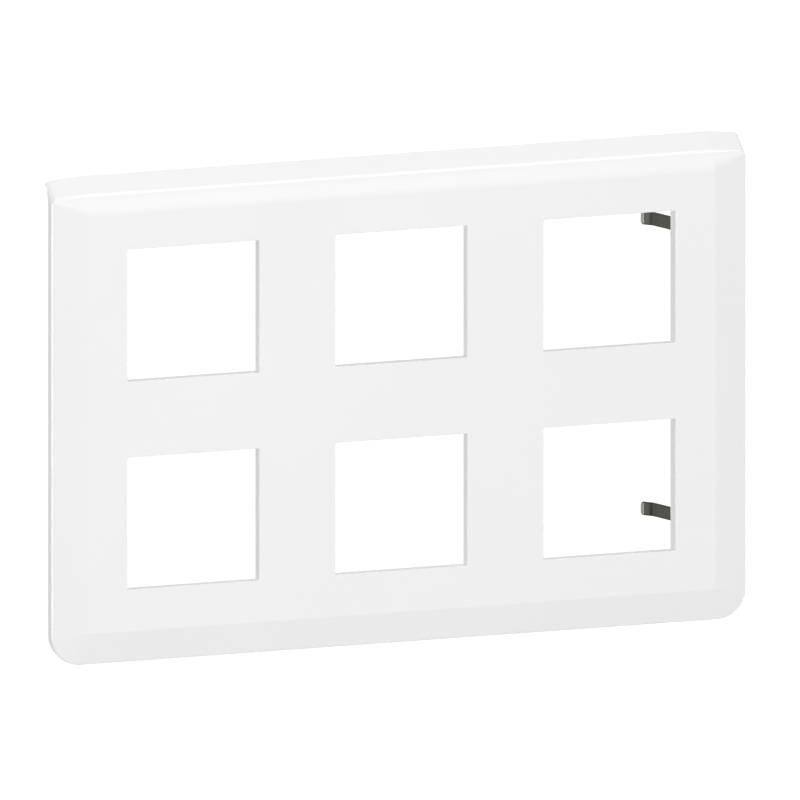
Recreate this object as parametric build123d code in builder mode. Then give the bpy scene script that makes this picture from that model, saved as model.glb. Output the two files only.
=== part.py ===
# Cover frame for a grid of square wiring modules: one hollow moulding and four spring clips.
# +X is right, +Z is up and +Y goes into the wall; Y = 0 is the wall plane and the front faces -Y.
import os
from math import cos, radians, sin, tan

from build123d import *

os.makedirs("parts", exist_ok=True)

# Openings for the modules
opening = 45.0  # side of each square opening
opening_corner = 0.3  # radius of its corners
opening_edge = 0.25  # rounding of its edge on the front
pitch = 71.0  # centre to centre, across and up
columns = 3
rows = 2

# Outline, measured from the edges of the outer openings
side_margin = 25.0
bottom_margin = 25.6
hood_margin = 12.4  # from the top openings to where the front starts to curve back
corner_radius = 10.0  # bottom outer corners

# Section through the moulding
overall_depth = 13.0  # flat front to wall plane
rim_depth = 8.0  # flat front to the back edge of the visible rim
bevel_width = 11.4
bevel_drop = 3.7
crease_radius = 0.8  # bottom corners of the line where front and bevel meet
hood_radius = 7.0
hood_end_radius = 1.0  # the hood's curve tightens to this over the side bevels
lip_droop = 1.1  # that the lip falls over the side bevels
roof_slope = 24.0  # degrees that the top rises towards the wall
edge_radius = 0.8  # rounded edge between bevel and rim
roof_end_run = 5.5  # length of the roof's rounded ends
roof_end_drop = 2.6  # that they fall to the sides
skin = 2.6
rim_wall = 3.8
shadow_gap = 1.8  # step that sets the back of the rim in from its visible edge
lip_tip = 1.2  # what is left of the lip where the step curves back to it

# Ribs behind the skin
reveal_depth = 5.0  # flat front to the back of the walls beside the openings
outer_reveal_depth = 6.3  # the same for the two outermost walls
rib_thickness = 1.6
cross_rib_depth = 4.6
cross_rib_thickness = 1.2

# Slotted posts that hold the clips
clip_offset = 5.5  # from the side of the outer openings to the middle of the slot
clip_inset = 8.4  # from the top or bottom of the outer openings to the middle of the slot
post_depth = 9.4  # flat front to the back of the post
post_wall = 1.4
slot_floor = 0.8  # from the skin to the floor of the slot
slot_clearance = 0.1

# Spring clips, each bent from one strip
strip_thickness = 0.6
strip_width = 4.5
leg_standout = 1.2  # from the back of the post to the first bend
leaf_run = 7.2  # towards the openings
leaf_rise = 11.7  # into the wall
catch_length = 3.1  # flat part of the hook
catch_angle = 36.0  # degrees that the hook leans into the wall
tip_length = 1.3
tip_angle = 60.0  # degrees that the tip leans into the wall
leg_bend = 3.0
catch_bend = 3.2
tip_bend = 1.0
tip_chamfer = 0.7

# Places that follow from the sizes
grid_half_width = (columns - 1) * pitch / 2 + opening / 2
grid_half_height = (rows - 1) * pitch / 2 + opening / 2
column_x = [(column - (columns - 1) / 2) * pitch for column in range(columns)]
row_z = [(row - (rows - 1) / 2) * pitch for row in range(rows)]
half_width = grid_half_width + side_margin
margin_x = (grid_half_width + half_width) / 2
bottom = -grid_half_height - bottom_margin
crease_x = half_width - bevel_width
crease_z = bottom + bevel_width
hood_start = grid_half_height + hood_margin
roof_angle = radians(roof_slope)
lip_height = hood_start + (overall_depth - hood_radius) * tan(roof_angle) + hood_radius / cos(roof_angle)
clip_x = grid_half_width + clip_offset
clip_z = grid_half_height - clip_inset
seat = skin + slot_floor
slot_x = strip_thickness + 2 * slot_clearance
slot_z = strip_width + 2 * slot_clearance
post_places = [(side * clip_x, level * clip_z) for side in (-1, 1) for level in (-1, 1)]


def rounded_outline(half, low, high, radius):
    """Upright rectangle with rounded bottom corners."""
    with Locations((0, (low + high) / 2)):
        outline = Rectangle(2 * half, high - low)
    fillet(outline.vertices().group_by(Axis.Y)[0], radius)


def hood_section(x, front, radius, lip):
    """Section of the upper half: a flat front, a curve of this radius and a roof that rises to the lip."""
    middle = Vector(radius - front, lip - (front - radius) * tan(roof_angle) - radius / cos(roof_angle))
    bend = middle + radius * Vector(-sin(roof_angle), cos(roof_angle))
    with BuildSketch(Plane.YZ.offset(x)) as section:
        with BuildLine():
            flat = Line((-front, 0), (-front, middle.Y))
            curve = RadiusArc(flat @ 1, bend, radius)
            Polyline(curve @ 1, (0, lip), (0, 0), flat @ 0)
        make_face()
    return section.sketch


def moulded_form(skin, wall, end_radius):
    """Outside of the moulding, or the room behind a skin and a rim wall."""
    front = overall_depth - skin
    edge = half_width - wall
    share = (bevel_width - wall) / bevel_width
    end_front = front - bevel_drop * share
    lip = lip_height - skin / cos(roof_angle)
    with BuildPart() as form:
        # Lower half: flat front, bevels and rounded corners
        with BuildSketch(Plane.XZ.offset(front)):
            rounded_outline(crease_x, crease_z, 0, crease_radius)
        with BuildSketch(Plane.XZ.offset(end_front)) as rim:
            rounded_outline(edge, bottom + wall, 0, corner_radius - wall)
        loft(ruled=True)
        extrude(rim.sketch, amount=-end_front)
        # Upper half: the hood runs straight across the front and tightens over the side bevels
        extrude(hood_section(-crease_x, front, hood_radius - skin, lip), amount=2 * crease_x)
        for side in (-1, 1):
            start = hood_section(side * crease_x, front, hood_radius - skin, lip)
            end = hood_section(side * edge, end_front, end_radius, lip - lip_droop * share)
            loft([start, end], ruled=True)
    return form.part


outside = moulded_form(0, 0, hood_end_radius)
room = moulded_form(skin, rim_wall, hood_radius - skin)

# Hollow behind the skin, with the walls beside the openings, the cross ribs and the posts left standing
wall_x = [x + side * (opening + rib_thickness) / 2 for x in column_x for side in (-1, 1)]
band_z = [row_z[0] - pitch / 2] + [z + pitch / 2 for z in row_z]
with BuildPart() as hollow:
    add(room)
    for depth, places in ((reveal_depth, wall_x[1:-1]), (outer_reveal_depth, (wall_x[0], wall_x[-1]))):
        with BuildSketch(Plane.XZ.offset(overall_depth - depth)):
            with Locations([(x, (bottom + lip_height) / 2) for x in places]):
                Rectangle(rib_thickness, lip_height - bottom)
        extrude(amount=depth, mode=Mode.SUBTRACT)
    with BuildSketch(Plane.XZ.offset(overall_depth - cross_rib_depth)):
        with Locations([(0, z) for z in band_z]):
            Rectangle(2 * half_width, cross_rib_thickness)
        with Locations([(side * margin_x, level * clip_z) for side in (-1, 1) for level in (-1, 1)]):
            Rectangle(side_margin, cross_rib_thickness)
    extrude(amount=cross_rib_depth, mode=Mode.SUBTRACT)
    with BuildSketch(Plane.XZ.offset(overall_depth - post_depth)):
        with Locations(post_places):
            Rectangle(slot_x + 2 * post_wall, slot_z + 2 * post_wall)
    extrude(amount=post_depth, mode=Mode.SUBTRACT)

# Step behind the visible rim, curved back to the lip at both ends of the hood
step_depth = overall_depth - rim_depth
step_top = lip_height - lip_droop - lip_tip - step_depth
with BuildPart() as step:
    with BuildSketch(Plane.XZ):
        with Locations((0, (bottom + step_top) / 2)):
            Rectangle(2 * half_width, step_top - bottom)
    extrude(amount=step_depth)
    for side in (-1, 1):
        with BuildSketch(Plane.YZ.offset(side * half_width)):
            with Locations((0, step_top)):
                Circle(step_depth)
        extrude(amount=-side * shadow_gap)
    with BuildSketch(Plane.XZ):
        rounded_outline(half_width - shadow_gap, bottom + shadow_gap, lip_height, corner_radius - shadow_gap)
    extrude(amount=step_depth, mode=Mode.SUBTRACT)

# The moulding
with BuildPart() as front_frame:
    add(outside)
    # Rounded edge all round the rim, where it meets the bevels and the hood
    rim_faces = front_frame.faces().filter_by(lambda face: abs(face.normal_at().Y) < 0.01)
    rim_edges = rim_faces.edges().filter_by(Axis.Y, reverse=True)
    front_edges = rim_edges.filter_by_position(Axis.Y, -overall_depth, 0, inclusive=(True, False))
    fillet(front_edges, edge_radius)
    # Ends of the roof, rounded down to the sides along its slope
    roof_end = Plane((0, 0, lip_height), x_dir=(1, 0, 0), z_dir=(0, cos(roof_angle), sin(roof_angle)))
    with BuildSketch(roof_end):
        for side in (-1, 1):
            with Locations((side * half_width, 0)):
                Rectangle(2 * roof_end_run, 2 * roof_end_drop)
            with Locations((side * (half_width - roof_end_run), roof_end_drop)):
                Ellipse(roof_end_run, roof_end_drop, mode=Mode.SUBTRACT)
    extrude(amount=2 * overall_depth, both=True, mode=Mode.SUBTRACT)
    add(hollow.part, mode=Mode.SUBTRACT)
    add(step.part, mode=Mode.SUBTRACT)
    # Module openings
    with BuildSketch(Plane.XZ):
        with Locations([(x, z) for x in column_x for z in row_z]):
            RectangleRounded(opening, opening, opening_corner)
    extrude(amount=overall_depth, mode=Mode.SUBTRACT)
    front_face = front_frame.faces().sort_by(Axis.Y)[0]
    fillet(front_face.inner_wires().edges(), opening_edge)
    # Slots for the clips
    with BuildSketch(Plane.XZ):
        with Locations(post_places):
            Rectangle(slot_x, slot_z)
    extrude(amount=overall_depth - seat, mode=Mode.SUBTRACT)
front_frame.part.label = "front_frame"
export_step(front_frame.part, "parts/front_frame.step")

# The clips: a leg in the slot, a leaf that leans behind the opening, and a hooked catch with a bent tip
leg_start = Vector(clip_x + strip_thickness / 2, seat - overall_depth)
leg_end = Vector(leg_start.X, post_depth + leg_standout - overall_depth)
leaf_end = leg_end + Vector(-leaf_run, leaf_rise)
catch_end = leaf_end + Vector(-catch_length, 0).rotate(Axis.Z, -catch_angle)
tip_end = catch_end + Vector(-tip_length, 0).rotate(Axis.Z, -tip_angle)
bends = (leg_bend, catch_bend, tip_bend)
for level_name, level in (("upper", 1), ("lower", -1)):
    for side_name, side in (("left", -1), ("right", 1)):
        with BuildPart() as clip:
            with BuildSketch(Plane.XY.offset(level * clip_z - strip_width / 2)):
                with BuildLine():
                    FilletPolyline(leg_start, leg_end, leaf_end, catch_end, tip_end, radius=bends)
                    offset(amount=strip_thickness, side=Side.LEFT)
                make_face()
            extrude(amount=strip_width)
            tip_middle = Vector(tip_end.X, tip_end.Y, level * clip_z)
            tip_face = clip.faces().sort_by(lambda face: (face.center() - tip_middle).length)[0]
            chamfer(tip_face.edges().sort_by(SortBy.LENGTH)[:2], tip_chamfer)
            if side < 0:
                mirror(about=Plane.YZ, mode=Mode.REPLACE)
        clip.part.label = f"{level_name}_{side_name}_clip"
        export_step(clip.part, f"parts/{clip.part.label}.step")
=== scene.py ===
"""Studio picture of a cover frame for six square wiring modules.

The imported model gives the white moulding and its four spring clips. This script gives them their finishes,
lights them as a plain product picture and sets the camera. Sizes are in millimetres and angles in degrees.
"""

import logging
import math
from dataclasses import dataclass
from enum import Enum, IntEnum
from typing import Any

import bmesh
import bpy
from mathutils import Matrix, Vector


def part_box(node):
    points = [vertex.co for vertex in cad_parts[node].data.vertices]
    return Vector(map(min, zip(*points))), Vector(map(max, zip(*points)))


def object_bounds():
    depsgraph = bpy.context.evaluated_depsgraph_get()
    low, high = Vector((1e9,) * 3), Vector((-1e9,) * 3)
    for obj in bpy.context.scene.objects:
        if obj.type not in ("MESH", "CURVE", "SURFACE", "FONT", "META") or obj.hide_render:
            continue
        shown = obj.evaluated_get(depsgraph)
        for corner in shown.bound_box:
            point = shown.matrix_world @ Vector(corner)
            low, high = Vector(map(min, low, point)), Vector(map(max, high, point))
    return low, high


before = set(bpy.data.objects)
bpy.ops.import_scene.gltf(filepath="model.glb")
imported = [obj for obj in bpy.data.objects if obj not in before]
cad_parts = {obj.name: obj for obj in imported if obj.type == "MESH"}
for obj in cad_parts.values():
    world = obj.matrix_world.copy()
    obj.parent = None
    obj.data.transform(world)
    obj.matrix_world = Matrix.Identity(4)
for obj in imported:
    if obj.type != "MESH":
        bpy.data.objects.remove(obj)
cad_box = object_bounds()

MM = 0.001
WHITE = (1, 1, 1, 1)
log = logging.getLogger("switch_frame")


class LampUse(Enum):
    """What a lamp is hung for."""

    FILL = "soft light with no mirror image"
    CARD = "a bright card that only shows in the gloss"


class Ray(Enum):
    """Kinds of ray that see the bare background."""

    CAMERA = "Is Camera Ray"
    GLOSSY = "Is Glossy Ray"
    TRANSMISSION = "Is Transmission Ray"


class MixInput(IntEnum):
    """Input sockets of a Mix node, whose names repeat for each type of data."""

    FACTOR = 0
    FIRST_VALUE = 2
    SECOND_VALUE = 3
    FIRST_COLOUR = 6
    SECOND_COLOUR = 7


class MixOutput(IntEnum):
    """Output sockets of a Mix node."""

    VALUE = 0
    COLOUR = 2


def to_linear(code: str) -> tuple[float, float, float, float]:
    """Turns an sRGB hex colour into linear light.

    Args:
        code: Colour such as "#F0F0F0".

    Returns:
        Red, green, blue and an alpha of 1.
    """
    shares = [int(code[i : i + 2], 16) / 255 for i in (1, 3, 5)]
    red, green, blue = [s / 12.92 if s <= 0.04045 else ((s + 0.055) / 1.055) ** 2.4 for s in shares]
    return red, green, blue, 1.0


def per_metre(size: float) -> float:
    """Scale of a texture on Object coordinates whose features are this many millimetres wide."""
    return 1 / (size * MM)


def empty_tree(owner: bpy.types.Material | bpy.types.World) -> bpy.types.NodeTree:
    """Gives a material or a world an empty node tree.

    Args:
        owner: Material or world.

    Returns:
        Its node tree.
    """
    owner.use_nodes = True
    owner.node_tree.nodes.clear()
    return owner.node_tree


def add_node(
    tree: bpy.types.NodeTree, kind: str, settings: dict[Any, Any], links: dict[Any, bpy.types.NodeSocket]
) -> bpy.types.Node:
    """Adds a node with its settings and links.

    Args:
        tree: Node tree that the node goes into.
        kind: Blender's name for the type of node.
        settings: Values by input socket (name or number) or by property name.
        links: Output sockets to join, by input socket (name or number).

    Returns:
        The new node.
    """
    node = tree.nodes.new(kind)
    properties = [name for name in settings if isinstance(name, str) and hasattr(node, name)]
    for name in properties:
        setattr(node, name, settings[name])
    for name, value in settings.items():
        if name not in properties:
            node.inputs[name].default_value = value
    for name, socket in links.items():
        tree.links.new(socket, node.inputs[name])
    return node


def seen_directly(tree: bpy.types.NodeTree) -> bpy.types.NodeSocket:
    """Tells rays that show the background, straight or in a reflection, from rays that only carry light.

    Args:
        tree: Node tree of the world or of the floor.

    Returns:
        Socket that is 1 on the rays that show it and 0 on the others.
    """
    path = add_node(tree, "ShaderNodeLightPath", {}, {})
    seen = path.outputs[Ray.CAMERA.value]
    for ray in (Ray.GLOSSY, Ray.TRANSMISSION):
        both = {0: seen, 1: path.outputs[ray.value]}
        seen = add_node(tree, "ShaderNodeMath", {"operation": "MAXIMUM"}, both).outputs["Value"]
    return seen


@dataclass(frozen=True)
class SatinThermoplastic:
    """White thermoplastic from a fine, polished mould: an even satin gloss with a barely visible grain.

    A face is dull or satin by how far it is turned to the front: 0 is square to it and 1 is parallel to it.
    """

    name: str = "moulded_satin_white_thermoplastic"
    colour: str = "#EFEFEF"
    cloud_colour: str = "#ECECEC"
    cloud_size: float = 45.0
    cloud_detail: float = 2.0
    roughness: float = 0.12
    roughness_spread: float = 0.02
    wall_roughness: float = 0.6
    dull_up_to: float = 0.05
    satin_from: float = 0.2
    ior: float = 1.53
    grain_size: float = 0.45
    grain_detail: float = 3.0
    grain_height: float = 0.0012

    def material(self) -> bpy.types.Material:
        """Builds the finish.

        Returns:
            The material.
        """
        material = bpy.data.materials.new(self.name)
        tree = empty_tree(material)
        place = add_node(tree, "ShaderNodeTexCoord", {}, {}).outputs["Object"]
        # Slow flow marks: the resin is a shade greyer where it cooled last
        flow = add_node(
            tree,
            "ShaderNodeTexNoise",
            {"Scale": per_metre(self.cloud_size), "Detail": self.cloud_detail},
            {"Vector": place},
        )
        tint = add_node(
            tree,
            "ShaderNodeMix",
            {
                "data_type": "RGBA",
                MixInput.FIRST_COLOUR: to_linear(self.colour),
                MixInput.SECOND_COLOUR: to_linear(self.cloud_colour),
            },
            {MixInput.FACTOR: flow.outputs["Fac"]},
        )
        # Eroded mould grain is far finer than this; it is drawn coarse enough to show in a close view
        grain = add_node(
            tree,
            "ShaderNodeTexNoise",
            {"Scale": per_metre(self.grain_size), "Detail": self.grain_detail},
            {"Vector": place},
        )
        smoothest, roughest = self.roughness - self.roughness_spread, self.roughness + self.roughness_spread
        sheen = add_node(
            tree,
            "ShaderNodeMapRange",
            {"To Min": smoothest, "To Max": roughest},
            {"Value": grain.outputs["Fac"]},
        )
        # Walls square to the front slide along the mould as the part is pushed out, which scuffs them dull
        normal = add_node(tree, "ShaderNodeNewGeometry", {}, {}).outputs["Normal"]
        depth = add_node(tree, "ShaderNodeSeparateXYZ", {}, {"Vector": normal}).outputs["Y"]
        turned = add_node(tree, "ShaderNodeMath", {"operation": "ABSOLUTE"}, {0: depth})
        dull = add_node(
            tree,
            "ShaderNodeMapRange",
            {"From Min": self.dull_up_to, "From Max": self.satin_from, "To Min": 1.0, "To Max": 0.0},
            {"Value": turned.outputs["Value"]},
        )
        gloss = add_node(
            tree,
            "ShaderNodeMix",
            {"data_type": "FLOAT", MixInput.SECOND_VALUE: self.wall_roughness},
            {MixInput.FACTOR: dull.outputs["Result"], MixInput.FIRST_VALUE: sheen.outputs["Result"]},
        )
        relief = add_node(
            tree, "ShaderNodeBump", {"Distance": self.grain_height * MM}, {"Height": grain.outputs["Fac"]}
        )
        shader = add_node(
            tree,
            "ShaderNodeBsdfPrincipled",
            {"IOR": self.ior},
            {
                "Base Color": tint.outputs[MixOutput.COLOUR],
                "Roughness": gloss.outputs[MixOutput.VALUE],
                "Normal": relief.outputs["Normal"],
            },
        )
        add_node(tree, "ShaderNodeOutputMaterial", {}, {"Surface": shader.outputs["BSDF"]})
        return material


@dataclass(frozen=True)
class Strip:
    """Where the clips lie, measured from the middle of the frame; all four mirror one another."""

    middle: float
    width: float
    tip: float


@dataclass(frozen=True)
class SpringSteelStrip:
    """Hardened spring steel strip: dark warm grey with rolling lines and painted light and shade along its
    bends.

    The painted light and shade gives colours by their distance from the tip: lighter at the tip and the
    catch, darkest at the bends. The painted shade along the long edges starts at a share of the strip's
    width, counted from its middle.
    """

    name: str = "dark_hardened_spring_steel_strip"
    # Painted shade along the long edges of the strip
    streak_colour: str = "#DDDDDD"
    edge_shade_colour: str = "#282725"
    edge_shade_start: float = 0.38
    roughness: float = 0.34
    line_spacing: float = 0.25
    line_length: float = 12.0
    line_detail: float = 3.0
    line_height: float = 0.004
    # Painted light and shade along the strip by distance from the tip: lighter at the tip and catch, darkest
    # at the bends
    bend_shading_reach: float = 6.0
    bend_light_and_shade: tuple[tuple[float, str], ...] = (
        (0.0, "#83817D"),
        (0.7, "#7C7A76"),
        (0.95, "#4A4946"),
        (1.2, "#686661"),
        (2.0, "#5C5A55"),
        (2.8, "#3B3A36"),
        (3.4, "#3A3935"),
        (4.6, "#41403C"),
    )

    def material(self, strip: Strip) -> bpy.types.Material:
        """Builds the finish.

        Args:
            strip: Where the clips lie.

        Returns:
            The material.
        """
        material = bpy.data.materials.new(self.name)
        tree = empty_tree(material)
        place = add_node(tree, "ShaderNodeTexCoord", {}, {}).outputs["Object"]
        # Rolling lines run along the strip, so they change quickly across its width and slowly along it
        along, across = per_metre(self.line_length), per_metre(self.line_spacing)
        stretched = add_node(
            tree, "ShaderNodeMapping", {"Scale": (along, along, across)}, {"Vector": place}
        )
        lines = add_node(
            tree,
            "ShaderNodeTexNoise",
            {"Scale": 1.0, "Detail": self.line_detail},
            {"Vector": stretched.outputs["Vector"]},
        )
        streaks = add_node(
            tree,
            "ShaderNodeMix",
            {
                "data_type": "RGBA",
                MixInput.FIRST_COLOUR: WHITE,
                MixInput.SECOND_COLOUR: to_linear(self.streak_colour),
            },
            {MixInput.FACTOR: lines.outputs["Fac"]},
        )
        # Distances from the middle of the frame are the same for all four clips
        mirrored = add_node(tree, "ShaderNodeVectorMath", {"operation": "ABSOLUTE"}, {0: place})
        reach = add_node(tree, "ShaderNodeSeparateXYZ", {}, {"Vector": mirrored.outputs["Vector"]})
        # Painted highlight on the tip and the catch, and painted shade at the bends, darkest inside them
        from_tip = add_node(
            tree,
            "ShaderNodeMapRange",
            {"From Min": strip.tip * MM, "From Max": (strip.tip + self.bend_shading_reach) * MM},
            {"Value": reach.outputs["X"]},
        )
        bend_shading = add_node(tree, "ShaderNodeValToRGB", {}, {"Fac": from_tip.outputs["Result"]})
        stops = bend_shading.color_ramp.elements
        stops.remove(stops[1])
        for distance, colour in self.bend_light_and_shade:
            stop = stops[0] if distance == 0 else stops.new(distance / self.bend_shading_reach)
            stop.color = to_linear(colour)
        lined = add_node(
            tree,
            "ShaderNodeMix",
            {"data_type": "RGBA", "blend_type": "MULTIPLY", MixInput.FACTOR: 1.0},
            {
                MixInput.FIRST_COLOUR: bend_shading.outputs["Color"],
                MixInput.SECOND_COLOUR: streaks.outputs[MixOutput.COLOUR],
            },
        )
        # Painted shade along both long edges: the faces darken towards their sides
        offset = add_node(
            tree, "ShaderNodeMath", {"operation": "SUBTRACT", 1: strip.middle * MM}, {0: reach.outputs["Z"]}
        )
        off_centre = add_node(
            tree, "ShaderNodeMath", {"operation": "ABSOLUTE"}, {0: offset.outputs["Value"]}
        )
        edge = add_node(
            tree,
            "ShaderNodeMapRange",
            {"From Min": self.edge_shade_start * strip.width * MM, "From Max": strip.width / 2 * MM},
            {"Value": off_centre.outputs["Value"]},
        )
        tint = add_node(
            tree,
            "ShaderNodeMix",
            {"data_type": "RGBA", MixInput.SECOND_COLOUR: to_linear(self.edge_shade_colour)},
            {
                MixInput.FACTOR: edge.outputs["Result"],
                MixInput.FIRST_COLOUR: lined.outputs[MixOutput.COLOUR],
            },
        )
        relief = add_node(
            tree, "ShaderNodeBump", {"Distance": self.line_height * MM}, {"Height": lines.outputs["Fac"]}
        )
        shader = add_node(
            tree,
            "ShaderNodeBsdfPrincipled",
            {"Metallic": 1.0, "Roughness": self.roughness},
            {"Base Color": tint.outputs[MixOutput.COLOUR], "Normal": relief.outputs["Normal"]},
        )
        add_node(tree, "ShaderNodeOutputMaterial", {}, {"Surface": shader.outputs["BSDF"]})
        return material


@dataclass
class Moulding:
    """The one-piece hollow front of the frame."""

    node: str = "front_frame"
    slot: str = "white_moulding"
    finish: SatinThermoplastic = SatinThermoplastic()

    def dress(self) -> bpy.types.Object:
        """Gives the moulding its finish.

        Returns:
            The dressed moulding.
        """
        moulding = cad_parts[self.node]
        moulding.data.materials.clear()
        moulding.data.materials.append(self.finish.material())
        return moulding


@dataclass
class SpringClips:
    """The four bent strips that hold the frame on its support."""

    levels: tuple[str, ...] = ("upper", "lower")
    sides: tuple[str, ...] = ("left", "right")
    slot: str = "spring_steel"
    finish: SpringSteelStrip = SpringSteelStrip()

    def dress(self) -> list[bpy.types.Object]:
        """Gives the clips their finish.

        Returns:
            The dressed clips.
        """
        clips = [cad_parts[f"{level}_{side}_clip"] for level in self.levels for side in self.sides]
        low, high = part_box(clips[0].name)
        strip = Strip(
            middle=(low.z + high.z) / 2 / MM,
            width=(high.z - low.z) / MM,
            tip=min(abs(low.x), abs(high.x)) / MM,
        )
        material = self.finish.material(strip)
        for clip in clips:
            clip.data.materials.clear()
            clip.data.materials.append(material)
        return clips


@dataclass(frozen=True)
class Softbox:
    """A flat studio lamp, turned to its aim."""

    name: str
    place: tuple[float, float, float]
    aim: tuple[float, float, float]
    size: tuple[float, float]
    watts: float
    use: LampUse = LampUse.FILL

    def build(self) -> bpy.types.Object:
        """Hangs the lamp, with its first size level and its face towards the aim.

        Returns:
            The lamp.
        """
        data = bpy.data.lights.new(self.name, "AREA")
        data.shape = "RECTANGLE"
        data.size, data.size_y = (length * MM for length in self.size)
        data.energy = self.watts
        lamp = bpy.data.objects.new(self.name, data)
        place, aim = Vector(self.place) * MM, Vector(self.aim) * MM
        turn = (aim - place).to_track_quat("-Z", "Y").to_matrix().to_4x4()
        lamp.matrix_world = Matrix.Translation(place) @ turn
        lamp.visible_camera = False
        lamp.visible_diffuse = self.use is LampUse.FILL
        lamp.visible_glossy = self.use is LampUse.CARD
        bpy.context.scene.collection.objects.link(lamp)
        return lamp


@dataclass
class Studio:
    """White surroundings and soft lamps."""

    floor_drop: float = 700.0
    floor_half: float = 6000.0
    floor_colour: str = "#C9C9C9"
    floor_lift: float = 0.75
    ambient: float = 0.545
    lamps: tuple[Softbox, ...] = (
        # Shown in the gloss along the hood, on its roof and on the rounded edge at the left
        Softbox("hood_card", (420, 200, 1000), (420, 0, 75), (860, 190), 1.4, LampUse.CARD),
        Softbox("roof_card", (270, 415, 1000), (270, 415, 0), (640, 230), 0.34, LampUse.CARD),
        Softbox("rim_card", (-572, -125, -131), (-118, -9, 0), (450, 300), 2.3, LampUse.CARD),
        # Light on the front, a little stronger at the left
        Softbox("front_fill", (100, -1290, 220), (0, 0, 0), (1000, 1000), 8.6),
        Softbox("near_left_fill", (-150, -500, 40), (-150, 0, 40), (150, 300), 0.22),
        # Light on the left bevel, on the rim and on both ends of the hood
        Softbox("left_side", (-800, -240, 180), (0, 0, 0), (600, 600), 0.75),
        Softbox("left_rear", (-750, 250, 60), (-118, 0, 60), (300, 300), 0.5),
        Softbox("right_rear", (750, 250, -50), (118, 0, 60), (300, 300), 1.2),
        # Light on the hood, and on the ribbed back
        Softbox("overhead_tube", (0, -12, 1100), (0, -12, 0), (900, 80), 2.45),
        Softbox("back_fill", (100, 1300, 150), (0, 0, 0), (1000, 1000), 8.5),
    )

    def surroundings(self) -> bpy.types.World:
        """Makes the background plain white to look at, and dimmer as a source of light.

        Returns:
            The world.
        """
        world = bpy.data.worlds.new("white_studio")
        tree = empty_tree(world)
        dim = add_node(tree, "ShaderNodeBackground", {"Color": WHITE, "Strength": self.ambient}, {})
        white = add_node(tree, "ShaderNodeBackground", {"Color": WHITE, "Strength": 1.0}, {})
        mix = add_node(
            tree,
            "ShaderNodeMixShader",
            {},
            {0: seen_directly(tree), 1: dim.outputs["Background"], 2: white.outputs["Background"]},
        )
        add_node(tree, "ShaderNodeOutputWorld", {}, {"Surface": mix.outputs["Shader"]})
        bpy.context.scene.world = world
        return world

    def floor(self) -> bpy.types.Object:
        """Lays a pale matt floor below the frame, lifted to white for the camera but still taking shadows.

        Returns:
            The floor.
        """
        material = bpy.data.materials.new("pale_matt_floor")
        tree = empty_tree(material)
        matt = add_node(tree, "ShaderNodeBsdfDiffuse", {"Color": to_linear(self.floor_colour)}, {})
        lift = add_node(tree, "ShaderNodeEmission", {"Strength": self.floor_lift}, {})
        lifted = add_node(
            tree, "ShaderNodeAddShader", {}, {0: matt.outputs["BSDF"], 1: lift.outputs["Emission"]}
        )
        mix = add_node(
            tree,
            "ShaderNodeMixShader",
            {},
            {0: seen_directly(tree), 1: matt.outputs["BSDF"], 2: lifted.outputs["Shader"]},
        )
        add_node(tree, "ShaderNodeOutputMaterial", {}, {"Surface": mix.outputs["Shader"]})
        mesh = bpy.data.meshes.new("floor")
        shape = bmesh.new()
        drop = Matrix.Translation((0, 0, cad_box[0].z - self.floor_drop * MM))
        bmesh.ops.create_grid(shape, x_segments=1, y_segments=1, size=self.floor_half * MM, matrix=drop)
        shape.to_mesh(mesh)
        shape.free()
        mesh.materials.append(material)
        floor = bpy.data.objects.new("floor", mesh)
        bpy.context.scene.collection.objects.link(floor)
        return floor

    def light(self) -> list[bpy.types.Object]:
        """Hangs all lamps."""
        return [lamp.build() for lamp in self.lamps]


@dataclass(frozen=True)
class ProductCamera:
    """Camera with parallel lines of sight, to the left of the frame and above it."""

    azimuth: float = -15.26
    elevation: float = 15.26
    view_width: float = 263.4
    aim: tuple[float, float, float] = (-0.53, -13.0, 0.14)
    distance: float = 1500.0

    def build(self) -> bpy.types.Object:
        """Sets the camera of the scene.

        Returns:
            The camera.
        """
        data = bpy.data.cameras.new("product_camera")
        data.type = "ORTHO"
        data.ortho_scale = self.view_width * MM
        camera = bpy.data.objects.new("product_camera", data)
        turn = Matrix.Rotation(math.radians(self.azimuth), 4, "Z")
        tilt = Matrix.Rotation(math.radians(90 - self.elevation), 4, "X")
        back = Matrix.Translation((0, 0, self.distance * MM))
        camera.matrix_world = Matrix.Translation(Vector(self.aim) * MM) @ turn @ tilt @ back
        bpy.context.scene.collection.objects.link(camera)
        bpy.context.scene.camera = camera
        return camera


def main() -> None:
    """Dresses the frame, then lights it and sets the camera."""
    logging.basicConfig(level=logging.INFO, format="%(name)s: %(message)s")
    bpy.context.scene.view_settings.view_transform = "Standard"
    log.info("dressed %s", Moulding().dress().name)
    for clip in SpringClips().dress():
        log.info("dressed %s", clip.name)
    studio = Studio()
    log.info("surroundings %s", studio.surroundings().name)
    log.info("laid %s", studio.floor().name)
    for lamp in studio.light():
        log.info("hung %s", lamp.name)
    log.info("set %s", ProductCamera().build().name)


if __name__ == "__main__":
    main()
